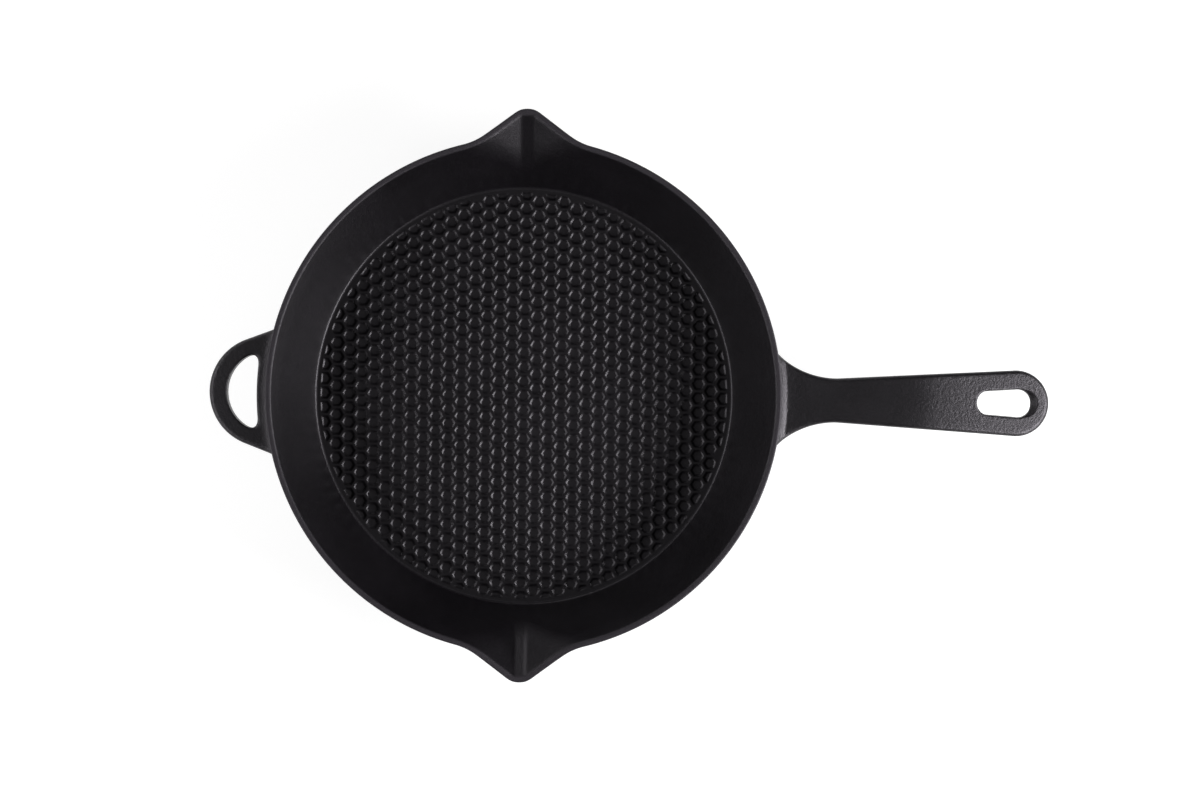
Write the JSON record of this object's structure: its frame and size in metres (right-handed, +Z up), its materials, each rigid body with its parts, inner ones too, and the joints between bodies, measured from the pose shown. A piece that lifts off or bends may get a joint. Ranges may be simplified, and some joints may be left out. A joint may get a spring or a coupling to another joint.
{
  "type": "cast iron skillet",
  "caption": "Round black cast iron skillet with a honeycomb cooking floor, sloped wall, pouring spouts on both sides, a long handle with a hang hole and a helper loop.",
  "frame": {"origin": "middle of the flat base, on the table plane", "axes": "+Z up out of the pan, +X along the long handle, +Y to the rear spout"},
  "size_m": [0.4252, 0.2894, 0.0503],
  "materials": {
    "iron": "satin black, fine cast grain"
  },
  "bodies": {
    "root": {"base_plate": "iron", "honeycomb_floor": "iron", "heel_ring": "iron", "side_wall": "iron", "rim_lip_left": "iron", "rim_lip_right": "iron", "spout_rear": "iron", "spout_front": "iron", "handle_neck": "iron", "handle_grip": "iron", "handle_eye": "iron", "helper_loop": "iron"}
  },
  "joints": []
}
